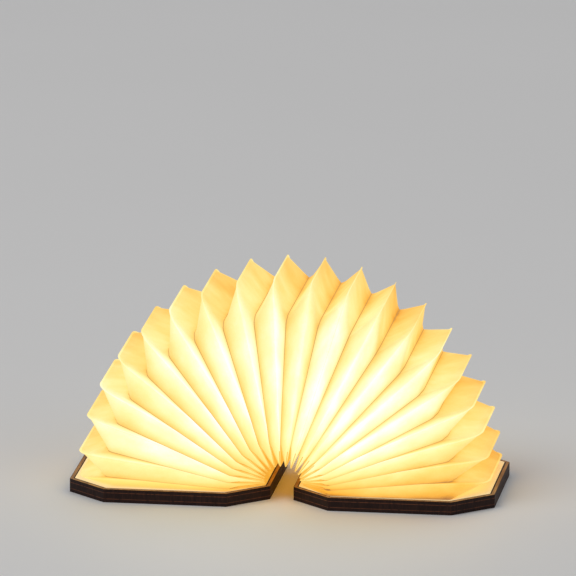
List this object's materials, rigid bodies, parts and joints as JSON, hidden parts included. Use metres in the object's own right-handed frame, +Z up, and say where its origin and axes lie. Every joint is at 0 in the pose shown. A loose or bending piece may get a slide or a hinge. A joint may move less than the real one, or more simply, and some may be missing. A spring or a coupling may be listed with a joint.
{
  "type": "folding book lamp",
  "caption": "Book-shaped table lamp: two eight-sided wooden covers joined by a hollow paper bellows that opens from a shut book into a glowing half-round fan and on back to back.",
  "frame": {"origin": "on the table, in the middle of the open lamp's box", "axes": "+X from the left cover to the right one, +Y along the spine to the back, +Z up"},
  "size_m": [0.1906, 0.097, 0.0995],
  "materials": {
    "wood_face": "satin",
    "wood_core": "matte",
    "paper": "matte",
    "glowing_paper": "matte",
    "paper_edge": "matte",
    "nickel": "satin",
    "steel": "satin",
    "foil_pouch": "satin",
    "circuit_board": "satin",
    "black_parts": "matte",
    "white_board": "gloss",
    "led": "gloss",
    "brass_pins": "polished"
  },
  "bodies": {
    "left_cover": {"left_outer_board": "wood_face", "left_frame": "wood_core", "left_inner_board": "wood_face", "left_lining": "paper", "left_magnets": "nickel", "battery_cell": "foil_pouch", "battery_tabs": "nickel", "control_board": "circuit_board", "board_parts": "black_parts", "charging_socket": "steel", "led_board": "white_board", "led_chips": "led", "led_pins": "brass_pins"},
    "leaf_01": {"leaf_edge_01": "paper_edge", "pleat_01": "glowing_paper"},
    "leaf_02": {"leaf_edge_02": "paper_edge", "pleat_02": "glowing_paper"},
    "leaf_03": {"leaf_edge_03": "paper_edge", "pleat_03": "glowing_paper"},
    "leaf_04": {"leaf_edge_04": "paper_edge", "pleat_04": "glowing_paper"},
    "leaf_05": {"leaf_edge_05": "paper_edge", "pleat_05": "glowing_paper"},
    "leaf_06": {"leaf_edge_06": "paper_edge", "pleat_06": "glowing_paper"},
    "leaf_07": {"leaf_edge_07": "paper_edge", "pleat_07": "glowing_paper"},
    "leaf_08": {"leaf_edge_08": "paper_edge", "pleat_08": "glowing_paper"},
    "leaf_09": {"leaf_edge_09": "paper_edge", "pleat_09": "glowing_paper"},
    "leaf_10": {"leaf_edge_10": "paper_edge", "pleat_10": "glowing_paper"},
    "leaf_11": {"leaf_edge_11": "paper_edge", "pleat_11": "glowing_paper"},
    "leaf_12": {"leaf_edge_12": "paper_edge", "pleat_12": "glowing_paper"},
    "leaf_13": {"leaf_edge_13": "paper_edge", "pleat_13": "glowing_paper"},
    "leaf_14": {"leaf_edge_14": "paper_edge", "pleat_14": "glowing_paper"},
    "leaf_15": {"leaf_edge_15": "paper_edge", "pleat_15": "glowing_paper"},
    "leaf_16": {"leaf_edge_16": "paper_edge", "pleat_16": "glowing_paper"},
    "leaf_17": {"leaf_edge_17": "paper_edge", "pleat_17": "glowing_paper"},
    "leaf_18": {"leaf_edge_18": "paper_edge", "pleat_18": "glowing_paper"},
    "leaf_19": {"leaf_edge_19": "paper_edge", "pleat_19": "glowing_paper"},
    "right_cover": {"right_outer_board": "wood_face", "right_frame": "wood_core", "right_inner_board": "wood_face", "right_lining": "paper", "right_magnets": "nickel", "trigger_magnet": "nickel", "pleat_20": "glowing_paper"}
  },
  "joints": [
    {"name": "fold_01", "type": "hinge", "parent": "left_cover", "child": "leaf_01", "pos_m": [-0.00821, 0, 0.00654], "axis": [0, 1, 0], "range_deg": [-7.22, 7.22], "deforming": ["pleat_01"]},
    {"name": "fold_02", "type": "hinge", "parent": "leaf_01", "child": "leaf_02", "pos_m": [-0.00849, 0, 0.00726], "axis": [0, 1, 0], "range_deg": [-10.87, 10.87], "deforming": ["pleat_02"]},
    {"name": "fold_03", "type": "hinge", "parent": "leaf_02", "child": "leaf_03", "pos_m": [-0.00778, 0, 0.00775], "axis": [0, 1, 0], "range_deg": [-9.88, 9.88], "deforming": ["pleat_03"]},
    {"name": "fold_04", "type": "hinge", "parent": "leaf_03", "child": "leaf_04", "pos_m": [-0.00675, 0, 0.00798], "axis": [0, 1, 0], "range_deg": [-9.88, 9.88], "deforming": ["pleat_04"]},
    {"name": "fold_05", "type": "hinge", "parent": "leaf_04", "child": "leaf_05", "pos_m": [-0.00546, 0, 0.00785], "axis": [0, 1, 0], "range_deg": [-9.88, 9.88], "deforming": ["pleat_05"]},
    {"name": "fold_06", "type": "hinge", "parent": "leaf_05", "child": "leaf_06", "pos_m": [-0.00408, 0, 0.00737], "axis": [0, 1, 0], "range_deg": [-9.88, 9.88], "deforming": ["pleat_06"]},
    {"name": "fold_07", "type": "hinge", "parent": "leaf_06", "child": "leaf_07", "pos_m": [-0.00278, 0, 0.00666], "axis": [0, 1, 0], "range_deg": [-9.88, 9.88], "deforming": ["pleat_07"]},
    {"name": "fold_08", "type": "hinge", "parent": "leaf_07", "child": "leaf_08", "pos_m": [-0.00168, 0, 0.00587], "axis": [0, 1, 0], "range_deg": [-9.88, 9.88], "deforming": ["pleat_08"]},
    {"name": "fold_09", "type": "hinge", "parent": "leaf_08", "child": "leaf_09", "pos_m": [-0.00078, 0, 0.00521], "axis": [0, 1, 0], "range_deg": [-9.88, 9.88], "deforming": ["pleat_09"]},
    {"name": "fold_10", "type": "hinge", "parent": "leaf_09", "child": "leaf_10", "pos_m": [-0.00003, 0, 0.00485], "axis": [0, 1, 0], "range_deg": [-9.87, 9.87], "deforming": ["pleat_10"]},
    {"name": "fold_11", "type": "hinge", "parent": "leaf_10", "child": "leaf_11", "pos_m": [0.00072, 0, 0.00489], "axis": [0, 1, 0], "range_deg": [-9.88, 9.88], "deforming": ["pleat_11"]},
    {"name": "fold_12", "type": "hinge", "parent": "leaf_11", "child": "leaf_12", "pos_m": [0.00162, 0, 0.00533], "axis": [0, 1, 0], "range_deg": [-9.88, 9.88], "deforming": ["pleat_12"]},
    {"name": "fold_13", "type": "hinge", "parent": "leaf_12", "child": "leaf_13", "pos_m": [0.00282, 0, 0.0061], "axis": [0, 1, 0], "range_deg": [-9.88, 9.88], "deforming": ["pleat_13"]},
    {"name": "fold_14", "type": "hinge", "parent": "leaf_13", "child": "leaf_14", "pos_m": [0.0044, 0, 0.007], "axis": [0, 1, 0], "range_deg": [-9.88, 9.88], "deforming": ["pleat_14"]},
    {"name": "fold_15", "type": "hinge", "parent": "leaf_14", "child": "leaf_15", "pos_m": [0.00629, 0, 0.00783], "axis": [0, 1, 0], "range_deg": [-9.31, 9.31], "deforming": ["pleat_15"]},
    {"name": "fold_16", "type": "hinge", "parent": "leaf_15", "child": "leaf_16", "pos_m": [0.00811, 0, 0.00823], "axis": [0, 1, 0], "range_deg": [-8.74, 8.74], "deforming": ["pleat_16"]},
    {"name": "fold_17", "type": "hinge", "parent": "leaf_16", "child": "leaf_17", "pos_m": [0.00966, 0, 0.0082], "axis": [0, 1, 0], "range_deg": [-8.16, 8.16], "deforming": ["pleat_17"]},
    {"name": "fold_18", "type": "hinge", "parent": "leaf_17", "child": "leaf_18", "pos_m": [0.0108, 0, 0.00785], "axis": [0, 1, 0], "range_deg": [-7.59, 7.59], "deforming": ["pleat_18"]},
    {"name": "fold_19", "type": "hinge", "parent": "leaf_18", "child": "leaf_19", "pos_m": [0.0115, 0, 0.00728], "axis": [0, 1, 0], "range_deg": [-7.02, 7.02], "deforming": ["pleat_19"]},
    {"name": "fold_20", "type": "hinge", "parent": "leaf_19", "child": "right_cover", "pos_m": [0.00919, 0, 0.00652], "axis": [0, 1, 0], "range_deg": [-2.67, 2.67], "deforming": ["pleat_20"]}
  ],
  "couplings": [
    {"joint": "fold_01", "follows": "fold_10", "ratio": 0.73},
    {"joint": "fold_02", "follows": "fold_10", "ratio": 1.1},
    {"joint": "fold_03", "follows": "fold_10", "ratio": 1},
    {"joint": "fold_04", "follows": "fold_10", "ratio": 1},
    {"joint": "fold_05", "follows": "fold_10", "ratio": 1},
    {"joint": "fold_06", "follows": "fold_10", "ratio": 1},
    {"joint": "fold_07", "follows": "fold_10", "ratio": 1},
    {"joint": "fold_08", "follows": "fold_10", "ratio": 1},
    {"joint": "fold_09", "follows": "fold_10", "ratio": 1},
    {"joint": "fold_11", "follows": "fold_10", "ratio": 1},
    {"joint": "fold_12", "follows": "fold_10", "ratio": 1},
    {"joint": "fold_13", "follows": "fold_10", "ratio": 1},
    {"joint": "fold_14", "follows": "fold_10", "ratio": 1},
    {"joint": "fold_15", "follows": "fold_10", "ratio": 0.942},
    {"joint": "fold_16", "follows": "fold_10", "ratio": 0.884},
    {"joint": "fold_17", "follows": "fold_10", "ratio": 0.826},
    {"joint": "fold_18", "follows": "fold_10", "ratio": 0.768},
    {"joint": "fold_19", "follows": "fold_10", "ratio": 0.71},
    {"joint": "fold_20", "follows": "fold_10", "ratio": 0.27}
  ]
}
